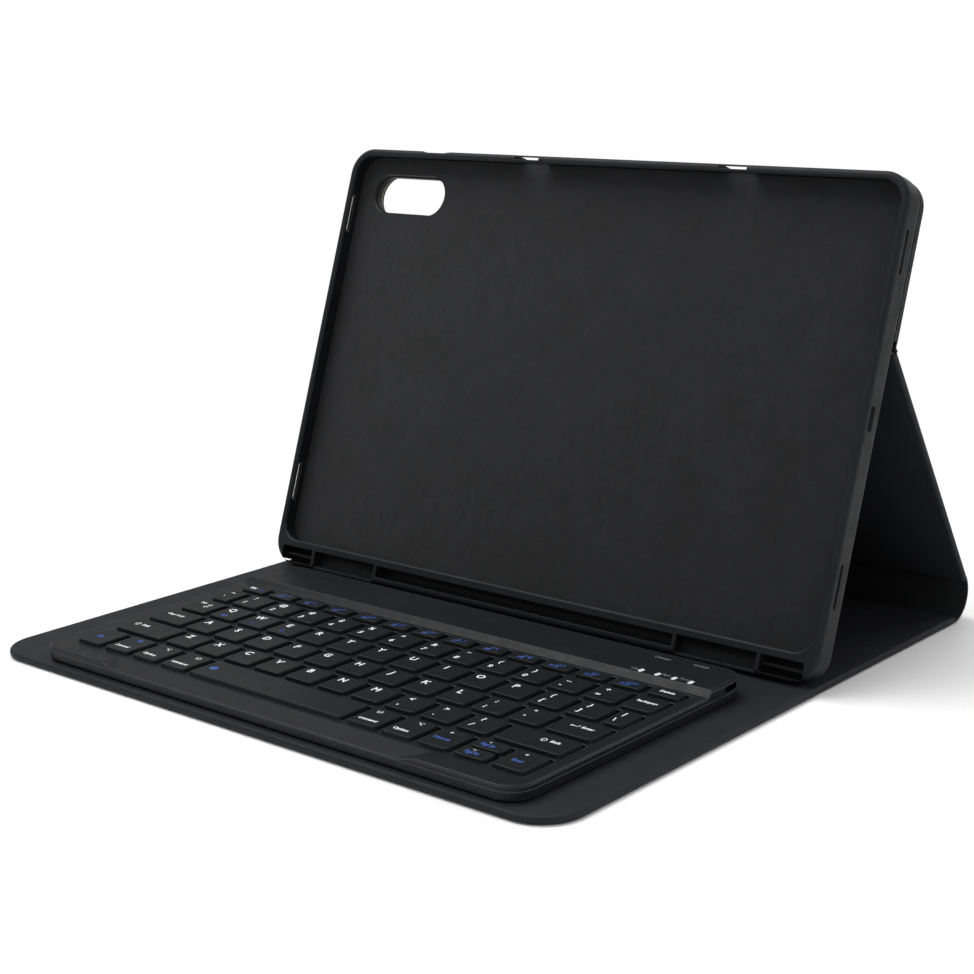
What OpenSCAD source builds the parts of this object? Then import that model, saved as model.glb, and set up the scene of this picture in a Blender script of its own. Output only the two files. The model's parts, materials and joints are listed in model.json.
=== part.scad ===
// Folding tablet case with a detachable keyboard.
// X runs to the right, Y from the front edge to the rear, Z up; the origin lies on the table
// under the middle of the case, which stands open with its tray leaning back.

/* [Folio panels] */
// How far the folio stays inside the tray's width, each side
panel_in = 1; // [0:0.25:3]
// Depth of the base panel, front edge to spine
base_depth = 277.5; // [266:0.5:295]
// Corner radius of the base panel's front corners
base_corner_r = 17; // [8:1:24]
// Corner radius of the upper panel's top corners
upper_corner_r = 12; // [6:1:16]
// Thickness of the cover leather
leather_t = 0.8; // [0.6:0.1:1.2]
// Thickness of the stiffening boards
board_t = 1.4; // [1.2:0.1:2]
// Thickness of the soft inner lining, which backs the panels
lining_t = 0.8; // [0.5:0.1:1]
// Distance from a fold line to the edge of the next board
fold_margin = 2; // [1.5:0.25:3]
// Outer radius of the soft spine
spine_r = 12; // [10:0.5:14]
// Thickness of the soft spine, leather and lining together
spine_t = 2.4; // [1.6:0.1:3]
// Thickness of the adhesive between the tray and the upper panel
adhesive_t = 0.3; // [0.3:0.05:0.5]

/* [Stand] */
// Lean of the tray back from upright, in degrees
lean = 18.56; // [16:0.5:22]
// Distance from the base's front edge to the tray opening's lower edge
tray_y = 161.8; // [155:0.2:168]
// Height of the fold line above the tray opening's lower edge
fold_u = 121.6; // [110:0.2:126]
// Clearance between the tray's lower edge and the base
rest_gap = 0.2; // [0.1:0.05:0.5]

/* [Tablet tray] */
// Width of the tablet that the tray holds, in landscape
tablet_w = 285.4; // [278:0.2:290]
// Height of the tablet, in landscape
tablet_h = 185.4; // [180:0.2:190]
// Corner radius of the tablet
tablet_r = 10; // [6:0.5:14]
// Depth of the tray's pocket behind the lip, for the tablet
pocket_d = 6.2; // [5.5:0.1:7]
// Clearance all round the tablet
tablet_fit = 0.3; // [0.1:0.05:0.6]
// How far the lip covers the tablet's face
lip_cover = 1.2; // [0.8:0.1:2]
// Thickness of the lip
lip_t = 1.2; // [0.8:0.1:1.6]
// Thickness of the tray's side walls
tray_wall = 2; // [1.5:0.1:2.6]
// Depth of the tray, front to back
tray_depth = 12; // [11.6:0.1:13]
// Height of the pen beam below the opening
beam_h = 11.5; // [11:0.1:13]
// Corner radius of the tray's outline
tray_r = 12; // [10:0.5:16]
// Rounding of the front rim
rim_round = 2; // [1:0.25:2.5]
// Rounding of the back edges
back_round = 3; // [1.5:0.25:4]
// Rounding of the lower back edge that the tray stands on
heel_round = 8; // [6:0.25:9]
// Thickness of the soft pad on the tray's floor
pad_t = 2; // [1:0.1:2.2]

/* [Pen holder] */
// Diameter of the pen trough
pen_d = 7.8; // [7:0.1:8]
// Length of the pen trough
pen_l = 160; // [140:1:164]
// Height of the mouth that the pen snaps in through
pen_mouth = 5; // [4:0.1:6]
// Height of the rim band between the opening and the pen trough
band_h = 3.2; // [2.6:0.1:3.6]
// Thickness of the bulkheads between the hollows of the beam
bulkhead_t = 1.6; // [1.2:0.1:2.4]
// Half the distance between the outer bulkheads
bulkhead_x = 119.6; // [112:0.2:124]

/* [Tray cut-outs] */
// Length of the side speaker slots
speaker_l = 18; // [10:0.5:22]
// Width of the side speaker slots
speaker_w = 2.2; // [1.6:0.1:3]
// Distance of the speaker slots from the middle of the side
speaker_off = 64.5; // [50:0.5:70]
// Length of the charging port's cut-out
port_l = 11; // [9:0.5:14]
// Width of the charging port's cut-out
port_w = 3.6; // [3:0.1:4.4]
// Length of the two slots in the top edge
slit_l = 13.4; // [8:0.2:16]
// Height of the two slots in the top edge
slit_h = 1.3; // [0.8:0.1:1.5]
// Length of the finger notch over the power button
notch_l = 18; // [12:0.5:24]
// Depth of the finger notch over the power button
notch_d = 0.9; // [0.4:0.1:1.2]
// Distance of the camera window's middle from the opening's left edge
camera_in = 29.5; // [27:0.5:60]
// Distance of the camera window's middle from the opening's upper edge
camera_down = 16; // [13:0.5:40]
// Length of the camera window
camera_l = 42; // [30:1:50]
// Height of the camera window
camera_h = 17; // [12:0.5:20]

/* [Keyboard] */
// Width of the keyboard
kb_w = 250; // [246:1:262]
// Depth of the keyboard
kb_d = 136; // [134:0.5:142]
// Distance of the keyboard's front edge from the base's front edge
kb_y = 3.2; // [2:0.2:8]
// Offset of the keyboard's middle to the right
kb_x = 1.8; // [-6:0.2:6]
// Height of the keyboard body over its feet
kb_h = 5.6; // [5.4:0.1:7]
// Height of the raised rear bar over the deck
bar_h = 3.2; // [2:0.1:5]
// Depth of the raised rear bar, its front slope included
bar_d = 25.7; // [22:0.1:27]
// Run of the bar's front slope
bar_slope = 5; // [3:0.5:7]
// Corner radius of the keyboard
kb_r = 10; // [6:0.5:12]
// Height of the deck's own rim over the seam with the case
rim_h = 2.2; // [2:0.1:2.6]
// Thickness of the keyboard's shells
shell_t = 1.2; // [1:0.1:1.5]
// Height of the rubber feet
foot_h = 0.4; // [0.2:0.05:0.8]
// Depth of the finger scoop in the front edge
scoop_depth = 1.8; // [0.8:0.1:2]
// Width of the finger scoop in the front edge
scoop_w = 163; // [120:1:190]

/* [Keys] */
// Left edge of the keys, from the keyboard's left side
keys_left = 16; // [14:0.2:17]
// Width of the whole field of keys
keys_w = 227.7; // [226:0.1:229]
// Front edge of the keys, from the keyboard's front
keys_front = 11.5; // [10:0.1:12.4]
// Pitch of the letter keys, side to side
pitch_x = 16.9; // [16.5:0.05:17.1]
// Pitch of the key rows, front to rear
pitch_y = 17.4; // [16.8:0.05:17.6]
// Gap between the tops of neighbouring keys
key_gap = 3.4; // [3:0.1:4]
// How far a key's foot stands out past its top, each side
key_draft = 0.5; // [0.2:0.1:0.7]
// Width of the accent key, left of the numbers
accent_w = 9.1; // [8:0.1:9.6]
// Width of the tab key
tab_w = 14.1; // [13:0.1:14.6]
// Width of the caps lock key
caps_w = 19; // [17:0.1:20]
// Width of the left shift key
shift_w = 27; // [24:0.1:28]
// Pitch of the modifier keys in the front row
mod_pitch = 16.5; // [15.5:0.1:16.9]
// Extra depth of the front row's keys
front_extra = 1.8; // [0:0.1:2.4]
// Height of the key tops over the deck
key_rise = 1.5; // [1.2:0.1:2.2]
// Travel of the keys
key_travel = 1.2; // [0.8:0.1:1.4]
// Clearance round a key in its window
key_fit = 0.3; // [0.2:0.05:0.4]
// Corner radius of the keys
key_r = 1.6; // [0.8:0.1:2]
// Depth of a half-height key
half_key = 6.9; // [6.4:0.1:7.2]

/* [Hidden] */
$fn = 48;
leather_c = "#2e2f31";
lining_c = "#38393b";
board_c = "#8a7a63";
rubber_c = "#3a3b3d";
key_c = "#1f2424";
shell_c = "#26272a";
metal_c = "#b9bcc0";
eps = 0.01;

// Folio
panel_t = leather_t + board_t + lining_t;
skin_z = -adhesive_t - panel_t;

// Tray, in its own frame: X across, Y up the screen from the opening's lower edge, and Z
// from the tray's back to its lip
open_w = tablet_w - 2 * lip_cover;
open_h = tablet_h - 2 * lip_cover;
open_r = tablet_r - lip_cover;
pocket_over = lip_cover + tablet_fit;
tray_w = open_w + 2 * (pocket_over + tray_wall);
tray_top = open_h + pocket_over + tray_wall;
panel_w = tray_w - 2 * panel_in;
floor_z = tray_depth - lip_t - pocket_d - pad_t;
lip_z = tray_depth - lip_t;
tablet_mid_z = lip_z - pocket_d / 2;
mid_y = open_h / 2;
pad_gap = 0.4;
lip_bevel = 0.7;
pen_wall = 0.7;
pen_y = -band_h - pen_mouth / 2 - 0.3;
pen_z = tray_depth - pen_d / 2 - pen_wall;
skirt_t = 1.3;
hollow_h = beam_h - band_h - skirt_t;
hollow_y = -band_h - hollow_h / 2;
inner_hollow_d = 5.5;
outer_hollow_d = 8.5;
hollow_rib_t = 1.2;
beam_step = 1;
slit_xs = [-41.3, 64.8];
slit_up = 1.2;
slit_reach = 8;
notch_x = -94.7;
notch_slope = 4;
camera_x = camera_in - open_w / 2;
camera_y = open_h - camera_down;
camera_rim = 1.5;
tray_magnet = [60, 3.6, 1.5];
tray_magnet_x = 70;
magnet_fit = 0.05;

// Stand: the heel rests on the base, and the tray and the leg are placed from it
heel_y = heel_round - beam_h;
heel_d = tray_depth - heel_round;
tray_z = panel_t + rest_gap + heel_round + heel_d * sin(lean) - heel_y * cos(lean);
heel_line = tray_y + heel_y * sin(lean) + heel_d * cos(lean);
back_d = tray_depth - skin_z;
fold_y = tray_y + fold_u * sin(lean) + back_d * cos(lean);
fold_z = tray_z + fold_u * cos(lean) - back_d * sin(lean);
to_fold = norm([fold_y - base_depth, fold_z - spine_r]);
leg_l = sqrt(to_fold * to_fold - spine_r * spine_r);
leg_a = atan2(fold_z - spine_r, fold_y - base_depth) + asin(spine_r / to_fold);
leg_y = base_depth + spine_r * sin(leg_a);
leg_z = spine_r - spine_r * cos(leg_a);
fold_a = leg_a - 90 + lean;

// Keyboard levels, from the table up
kb_left = kb_x - kb_w / 2;
kb_right = kb_x + kb_w / 2;
kb_rear = kb_y + kb_d;
kb_bottom = panel_t + foot_h;
deck_z = kb_bottom + kb_h;
bar_z = deck_z + bar_h;
seam_z = deck_z - rim_h;
floor_t = 0.8;
floor_top = kb_bottom + floor_t;
kb_wall = 1.4;
edge_bevel = 0.6;
end_bevel = 1.2;
plate_t = 0.4;
membrane_t = 0.4;
plate_margin = 1.5;
membrane_top = floor_top + plate_t + membrane_t;
key_top = deck_z + key_rise;
key_foot = membrane_top + key_travel + 0.2;
key_cap_t = 1.1;
key_wall = 1.1;
stem_d = 4;
dome_h = 2.2;
dome_d = 5.4;
bar_y = kb_rear - bar_d;
bar_top_y = bar_y + bar_slope;
scoop_run = 9;
scoop_end = 9;
solid_front = 10;

// Inside the keyboard
pillar_d = 4.6;
pillar_top = floor_top + 1.4;
screw_d = 1.6;
screw_head_d = 3.2;
screw_head_h = 0.8;
screw_fit = 0.05;
screw_in = 6;
rear_screw_in = 13;
bar_mid_y = (bar_top_y + kb_rear) / 2;
screws = [
    [kb_left + screw_in, kb_y + screw_in], [kb_x, kb_y + screw_in],
    [kb_right - screw_in, kb_y + screw_in], [kb_left + rear_screw_in, kb_rear - 5],
    [kb_x + 28, bar_mid_y], [kb_right - rear_screw_in, kb_rear - 5]
];
function screw_roof(p) = p[1] > bar_y ? bar_z : deck_z;
magnet = [30, 5];
magnet_h = 2;
magnet_xs = [-92, 78];
magnet_front_y = kb_y + 2.6 + magnet[1] / 2;
magnet_rear_y = kb_rear - 3 - magnet[1] / 2;
stand_magnet = [90, 8];
stand_magnet_x = 70;
board_z = seam_z - 0.6;
board_h = 1;
board_x = [kb_x + 34, kb_right - 3];
board_y = [bar_top_y - 0.5, kb_rear - 9.5];
board_posts = [
    [board_x[0] + 3, board_y[0] + 2], [board_x[1] - 12, board_y[0] + 2],
    [board_x[0] + 3, board_y[1] - 2], [board_x[1] - 18, board_y[1] - 2],
    [kb_left + kb_wall + 4, bar_mid_y - 4]
];
socket = [7.2, 8.9, 3.2];
socket_y = kb_rear - 9;
socket_wall = 0.35;
socket_z = board_z + board_h + socket[2] / 2;
switch_x = kb_left + kb_wall + 0.4;
switch_y = bar_mid_y - 4;
knob = [2.2, 1.5];
knob_out = 0.5;
slider = [1.5, 3.6, 2.4];
slider_fit = 0.1;
switch_travel = 2.4;
switch_z = socket_z;
battery_size = [84, 15, 4.2];
battery_x = -61;
chip_l = 9;
chip_h = 1.2;
switch_wall = 1.2;
switch_body_w = 5.2;
switch_body_h = 3.5;
shank_gap = 0.2;
light_xs = [for (i = [0:3]) kb_right - 33.3 + i * 7.4];
light_y = bar_top_y + 1.6;
light_d = 1.8;
foot_d = 9;
foot_in = 13;

// Keys: each is [left edge, front edge, width, depth] of its top
keys_x = kb_left + keys_left;
keys_y = kb_y + keys_front;
keys_end = keys_x + keys_w;
key_w = pitch_x - key_gap;
key_l = pitch_y - key_gap;
front_l = key_l + front_extra;
mod_w = mod_pitch - key_gap;
half_gap = 1.4;
page_l = (front_l - half_gap) / 2;
function_pitch = (keys_w + key_gap) / 14;
function row_y(i) = keys_y + (i == 0 ? 0 : front_extra + i * pitch_y);
function letters(x, n, row) = [for (i = [0:n - 1]) [x + i * pitch_x, row_y(row), key_w, key_l]];
function to_end(x, row) = [[x, row_y(row), keys_end - x, key_l]];
function from_left(w, row) = [[keys_x, row_y(row), w, key_l]];
function tops(first, last) = [for (i = [first:last])
    [keys_x + i * function_pitch, row_y(5), function_pitch - key_gap, half_key]];
function left_mod(i) = [[keys_x + i * mod_pitch, keys_y, mod_w, front_l]];
function right_mod(i) = [[keys_end - mod_w - i * mod_pitch, keys_y, mod_w, front_l]];
function page(up) = [for (k = right_mod(1)) [k[0], k[1] + (up ? page_l + half_gap : 0), k[2], page_l]];
number_x = keys_x + accent_w + key_gap;
upper_x = keys_x + tab_w + key_gap;
middle_x = keys_x + caps_w + key_gap;
lower_x = keys_x + shift_w + key_gap;
space_x = keys_x + 4 * mod_pitch;
space_end = keys_end - mod_w - 4 * mod_pitch - key_gap;
space = [[space_x, keys_y, space_end - space_x, front_l]];
all_keys = concat(
    tops(0, 13), from_left(accent_w, 4), letters(number_x, 12, 4), to_end(number_x + 12 * pitch_x, 4),
    from_left(tab_w, 3), letters(upper_x, 12, 3), to_end(upper_x + 12 * pitch_x, 3),
    from_left(caps_w, 2), letters(middle_x, 11, 2), to_end(middle_x + 11 * pitch_x, 2),
    from_left(shift_w, 1), letters(lower_x, 10, 1), to_end(lower_x + 10 * pitch_x, 1),
    left_mod(0), left_mod(1), left_mod(2), left_mod(3), space,
    right_mod(4), right_mod(3), right_mod(2), page(true), page(false), right_mod(0)
);

// Every part is drawn from the base's front edge, and this puts the middle over the origin
module centred() {
    translate([0, -(base_depth + spine_r) / 2, 0]) children();
}

// Outlines, made of squares and circles so that their arcs stay true arcs

module round_rect(w, h, r) {
    translate([-w / 2 + r, 0]) square([w - 2 * r, h]);
    translate([-w / 2, r]) square([w, h - 2 * r]);
    for (x = [-w / 2 + r, w / 2 - r], y = [r, h - r])
        translate([x, y]) circle(r);
}

module pill(l, h) {
    square([l - h, h], center = true);
    for (x = [-1, 1])
        translate([x * (l - h) / 2, 0]) circle(h / 2);
}

// A panel outline with two round corners, at its front end
module round_end(w, l, r) {
    translate([-w / 2, r]) square([w, l - r]);
    translate([-w / 2 + r, 0]) square([w - 2 * r, r + eps]);
    for (x = [-w / 2 + r, w / 2 - r])
        translate([x, r]) circle(r);
}

// Extrudes a (Y, Z) profile along X
module along_x(x, l) {
    translate([x, 0, 0]) rotate([90, 0, 90]) linear_extrude(l) children();
}

// Extrudes an (X, Z) profile along Y
module along_y(y, l) {
    translate([0, y + l, 0]) rotate([90, 0, 0]) linear_extrude(l) children();
}

// Sweeps an (outward, Z) profile round the edge of a round_rect(w, h, r)
module edge_sweep(w, h, r) {
    for (side = [[0, w / 2, h / 2, h], [90, 0, h, w], [180, -w / 2, h / 2, h], [270, 0, 0, w]])
        translate([side[1], side[2], 0]) rotate([0, 0, side[0]])
            translate([0, side[3] / 2 - r, 0]) rotate([90, 0, 0])
                linear_extrude(side[3] - 2 * r) children();
    for (corner = [[0, 1, 1], [90, -1, 1], [180, -1, 0], [270, 1, 0]])
        translate([corner[1] * (w / 2 - r), corner[2] == 1 ? h - r : r, 0])
            rotate([0, 0, corner[0]]) rotate_extrude(angle = 90) translate([r, 0]) children();
}

// What a round of radius r takes off an edge at height z; up is 1 for a top edge
module round_cut(r, z, up) {
    difference() {
        translate([-r, up == 1 ? z - r : z - 1]) square([r + 1, r + 1]);
        translate([-r, z - up * r]) circle(r);
    }
}

module bevel_cut(b, z, up) {
    polygon([[-b, z], [-b, z + up], [1, z + up], [1, z - up * (b + 1)], [0, z - up * b]]);
}

// Folio panels

module base_outline(inset) {
    translate([0, inset]) round_end(panel_w - 2 * inset, base_depth - inset, base_corner_r - inset);
}

// A cover: the leather sheet with its edges turned up round the board
module turned_cover(inset) {
    linear_extrude(leather_t) children(0);
    linear_extrude(leather_t + board_t) difference() {
        children(0);
        children(1);
    }
}

module base_cover() {
    color(leather_c) centred() turned_cover() {
        base_outline(0);
        base_outline(leather_t);
    }
}

module base_board() {
    color(board_c) centred() translate([0, 0, leather_t]) linear_extrude(board_t) difference() {
        intersection() {
            base_outline(leather_t);
            translate([-panel_w / 2, 0]) square([panel_w, base_depth - fold_margin]);
        }
        base_magnet_plan();
    }
}

module base_lining() {
    color(lining_c) centred() translate([0, 0, leather_t + board_t])
        linear_extrude(lining_t) base_outline(0);
}

module magnet_plan() {
    for (x = magnet_xs, y = [magnet_front_y, magnet_rear_y])
        translate([kb_x + x, y]) square(magnet, center = true);
}

module base_magnet_plan() {
    magnet_plan();
    for (side = [-1, 1])
        translate([side * stand_magnet_x, heel_line]) square(stand_magnet, center = true);
}

module base_magnets() {
    color(metal_c) centred() translate([0, 0, leather_t]) linear_extrude(board_t) base_magnet_plan();
}

module spine_leather() {
    color(leather_c) centred() translate([-panel_w / 2, base_depth, spine_r]) rotate([90, 0, 90])
        rotate([0, 0, -90]) rotate_extrude(angle = leg_a)
            translate([spine_r - spine_t, 0]) square([spine_t, panel_w]);
}

// The leg's frame: Y up the leg from the spine, Z from its outer skin inwards
module in_leg() {
    translate([0, leg_y, leg_z]) rotate([leg_a, 0, 0]) children();
}

module leg_outline(inset) {
    translate([-panel_w / 2 + inset, 0]) square([panel_w - 2 * inset, leg_l - fold_margin]);
}

module leg_cover() {
    color(leather_c) centred() in_leg() turned_cover() {
        leg_outline(0);
        leg_outline(leather_t);
    }
}

module leg_board() {
    color(board_c) centred() in_leg() translate([0, fold_margin, leather_t]) linear_extrude(board_t)
        intersection() {
            leg_outline(leather_t);
            translate([-panel_w / 2, 0]) square([panel_w, leg_l - 2 * fold_margin]);
        }
}

module leg_lining() {
    color(lining_c) centred() in_leg() translate([0, 0, leather_t + board_t])
        linear_extrude(lining_t) leg_outline(0);
}

// The bare leather at the fold: a strip on the leg, a strip on the upper panel, and the bend
module fold_leather() {
    color(leather_c) centred() {
        in_leg() translate([-panel_w / 2, leg_l - fold_margin, 0])
            cube([panel_w, fold_margin, leather_t]);
        in_tray() translate([-panel_w / 2, fold_u, skin_z])
            cube([panel_w, fold_margin, leather_t]);
        translate([-panel_w / 2, fold_y, fold_z]) rotate([90, 0, 90])
            rotate([0, 0, 180 - lean]) rotate_extrude(angle = fold_a)
                square([leather_t, panel_w]);
    }
}

// The tray's frame, from its flat pose to its lean on the stand
module in_tray() {
    translate([0, tray_y, tray_z]) rotate([90 - lean, 0, 0])
        translate([0, 0, -tray_depth]) children();
}

module upper_outline(inset) {
    foot = fold_u + fold_margin;
    difference() {
        translate([0, tray_top - inset]) mirror([0, 1])
            round_end(panel_w - 2 * inset, tray_top - inset - foot, upper_corner_r - inset);
        translate([camera_x, camera_y])
            pill(camera_l + 2 * camera_rim, camera_h + 2 * camera_rim);
    }
}

module upper_cover() {
    color(leather_c) centred() in_tray() translate([0, 0, skin_z]) turned_cover() {
        upper_outline(0);
        upper_outline(leather_t);
    }
}

module upper_board() {
    color(board_c) centred() in_tray() translate([0, 0, skin_z + leather_t])
        linear_extrude(board_t) upper_outline(leather_t);
}

module upper_lining() {
    color(lining_c) centred() in_tray() translate([0, 0, -adhesive_t - lining_t])
        linear_extrude(lining_t) upper_outline(0);
}

module adhesive_sheet() {
    color("#c9c4b4") centred() in_tray() translate([0, 0, -adhesive_t])
        linear_extrude(adhesive_t) intersection() {
            upper_outline(leather_t);
            translate([0, -beam_h]) round_rect(tray_w - 2 * back_round, tray_top + beam_h - back_round,
                tray_r - back_round);
        }
}

// Tablet tray

module tray_outline() {
    translate([0, -beam_h]) round_rect(tray_w, tray_top + beam_h, tray_r);
}

module pocket_outline(inset) {
    over = pocket_over - inset;
    translate([0, -over]) round_rect(open_w + 2 * over, open_h + 2 * over, open_r + over);
}

// The moulded block before the pocket is cut: rounded rim, rounded back, round heel
module tray_block() {
    difference() {
        linear_extrude(tray_depth) tray_outline();
        translate([0, -beam_h, 0]) {
            edge_sweep(tray_w, tray_top + beam_h, tray_r) round_cut(rim_round, tray_depth, 1);
            edge_sweep(tray_w, tray_top + beam_h, tray_r) round_cut(back_round, 0, -1);
        }
        along_x(-tray_w / 2 - 1, tray_w + 2) translate([-beam_h, 0]) difference() {
            translate([-1, -1]) square(heel_round + 1);
            translate([heel_round, heel_round]) circle(heel_round);
        }
    }
}

module pen_trough() {
    along_x(-pen_l / 2, pen_l) {
        translate([pen_y, pen_z]) circle(d = pen_d);
        translate([pen_y - pen_mouth / 2, pen_z]) square([pen_mouth, tray_depth]);
    }
}

// The open hollows beside the trough; the outer pair is deeper and has a rib across it
module beam_hollow(x, l, d) {
    along_x(x, l) {
        translate([hollow_y, tray_depth - d + hollow_h / 2]) circle(d = hollow_h);
        translate([hollow_y - hollow_h / 2, tray_depth - d + hollow_h / 2])
            square([hollow_h, tray_depth]);
    }
}

module beam_cuts() {
    pen_trough();
    inner_x = pen_l / 2 + bulkhead_t;
    outer_x = bulkhead_x + bulkhead_t / 2;
    inner_l = bulkhead_x - bulkhead_t / 2 - inner_x;
    outer_l = tray_w / 2 - tray_wall - pocket_over - outer_x - 2;
    for (side = [-1, 1]) {
        beam_hollow(side > 0 ? inner_x : -inner_x - inner_l, inner_l, inner_hollow_d);
        beam_hollow(side > 0 ? outer_x : -outer_x - outer_l, outer_l, outer_hollow_d);
        translate([side > 0 ? inner_x : -inner_x - inner_l, -beam_h - 1, tray_depth - beam_step])
            cube([inner_l, beam_h + 1 - band_h, beam_step + 1]);
    }
}

module hollow_ribs() {
    outer_x = bulkhead_x + bulkhead_t / 2;
    outer_l = tray_w / 2 - tray_wall - pocket_over - outer_x - 2;
    for (side = [-1, 1])
        translate([side > 0 ? outer_x - eps : -outer_x - outer_l - eps, hollow_y - hollow_rib_t / 2,
                tray_depth - outer_hollow_d - eps])
            cube([outer_l + 2 * eps, hollow_rib_t, outer_hollow_d - 3]);
}

// A slot through a side wall, at a height along the side
module side_slot(side, y, l, w) {
    translate([side * tray_w / 2, mid_y + y, tablet_mid_z]) rotate([0, 90, 0]) rotate([0, 0, 90])
        translate([0, 0, -2 * tray_wall]) linear_extrude(4 * tray_wall) pill(l, w);
}

// A slot in the top edge: a slit in the rim's face and the cut-out behind it
module top_slot(x) {
    y = open_h + slit_up;
    translate([x - slit_l / 2, y, lip_z - eps]) cube([slit_l, slit_h, lip_t + 1]);
    translate([x - slit_l / 2, y, lip_z - slit_reach]) cube([slit_l, tray_wall + 4, slit_reach]);
}

module power_notch() {
    half = notch_l / 2;
    top = tray_top - notch_d;
    translate([notch_x, 0, -1]) linear_extrude(tray_depth + 2)
        polygon([[-half, tray_top + eps], [-half + notch_slope, top], [half - notch_slope, top],
            [half, tray_top + eps], [half, tray_top + 1], [-half, tray_top + 1]]);
}

module tablet_tray() {
    color(rubber_c) centred() in_tray() {
        difference() {
            tray_block();
            translate([0, 0, floor_z]) linear_extrude(lip_z - floor_z) pocket_outline(0);
            translate([0, 0, lip_z - 1]) linear_extrude(lip_t + 2)
                round_rect(open_w, open_h, open_r);
            edge_sweep(open_w, open_h, open_r)
                polygon([[-1, tray_depth - lip_bevel - 1], [0, tray_depth - lip_bevel],
                    [lip_bevel, tray_depth], [lip_bevel + 1, tray_depth + 1],
                    [-1, tray_depth + 1]]);
            beam_cuts();
            for (side = [-1, 1], y = [-speaker_off, speaker_off])
                side_slot(side, y, speaker_l, speaker_w);
            side_slot(1, 0, port_l, port_w);
            for (x = slit_xs)
                top_slot(x);
            power_notch();
            translate([camera_x, camera_y, -1]) linear_extrude(floor_z + 2)
                pill(camera_l, camera_h);
            tray_magnet_blocks(magnet_fit);
        }
        hollow_ribs();
    }
}

module tray_pad() {
    color("#2b2c2f") centred() in_tray() translate([0, 0, floor_z]) linear_extrude(pad_t) difference() {
        pocket_outline(pad_gap);
        translate([camera_x, camera_y])
            pill(camera_l + camera_rim, camera_h + camera_rim);
    }
}

module tray_magnet_blocks(grow) {
    size = tray_magnet + [2 * grow, 2 * grow, 2 * grow];
    for (side = [-1, 1])
        translate([side * tray_magnet_x, heel_y, floor_z / 2 + 0.3])
            cube(size, center = true);
}

module tray_magnets() {
    color(metal_c) centred() in_tray() tray_magnet_blocks(0);
}

// Keyboard

module kb_outline(inset) {
    translate([kb_x, kb_y + inset])
        round_rect(kb_w - 2 * inset, kb_d - 2 * inset, kb_r - inset);
}

module screw_holes() {
    for (p = screws)
        translate([p[0], p[1], 0]) {
            translate([0, 0, kb_bottom - 1])
                cylinder(d = screw_head_d + 0.4, h = screw_head_h + 1);
            translate([0, 0, kb_bottom - 1])
                cylinder(d = screw_d + 0.4, h = pillar_top - kb_bottom + 2);
        }
}

module keyboard_case() {
    color(shell_c) centred() difference() {
        union() {
            difference() {
                translate([0, 0, kb_bottom]) linear_extrude(seam_z - kb_bottom) kb_outline(0);
                translate([0, 0, floor_top]) linear_extrude(seam_z) kb_outline(kb_wall);
                translate([kb_x, kb_y, 0])
                    edge_sweep(kb_w, kb_d, kb_r) bevel_cut(edge_bevel, kb_bottom, -1);
            }
            for (p = screws)
                translate([p[0], p[1], floor_top - eps])
                    cylinder(d = pillar_d, h = pillar_top - floor_top + eps);
            for (p = board_posts)
                translate([p[0], p[1], floor_top - eps])
                    cylinder(d = 3, h = board_z - floor_top + eps);
        }
        screw_holes();
    }
}

// Profile of the deck along the keyboard's depth; in by t for the inside
module deck_profile(t) {
    lean_in = t * tan(atan2(bar_h, bar_slope) / 2);
    front = t > 0 ? kb_y + solid_front : kb_y;
    polygon([[front, seam_z - t], [front, deck_z - t], [bar_y + lean_in, deck_z - t],
        [bar_top_y + lean_in, bar_z - t], [kb_rear - t, bar_z - t], [kb_rear - t, seam_z - t]]);
}

// Profile of the deck across the keyboard, with beveled ends on the bar
module deck_ends() {
    polygon([[kb_left, seam_z - 1], [kb_left, bar_z - end_bevel], [kb_left + end_bevel, bar_z],
        [kb_right - end_bevel, bar_z], [kb_right, bar_z - end_bevel], [kb_right, seam_z - 1]]);
}

module finger_scoop() {
    half = scoop_w / 2;
    intersection() {
        along_x(kb_left, kb_w) polygon([[kb_y - 1, deck_z + 1],
            [kb_y - 1, deck_z - scoop_depth], [kb_y, deck_z - scoop_depth],
            [kb_y + scoop_run, deck_z], [kb_y + scoop_run, deck_z + 1]]);
        along_y(kb_y - 1, scoop_run + 1) translate([kb_x, deck_z]) polygon([[-half, 1],
            [-half, 0], [-half + scoop_end, -scoop_depth], [half - scoop_end, -scoop_depth],
            [half, 0], [half, 1]]);
    }
}

module key_window(k) {
    grow = key_draft + key_fit;
    translate([k[0] - grow + (k[2] + 2 * grow) / 2, k[1] - grow, seam_z])
        linear_extrude(rim_h + 1) round_rect(k[2] + 2 * grow, k[3] + 2 * grow, key_r);
}

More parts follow.
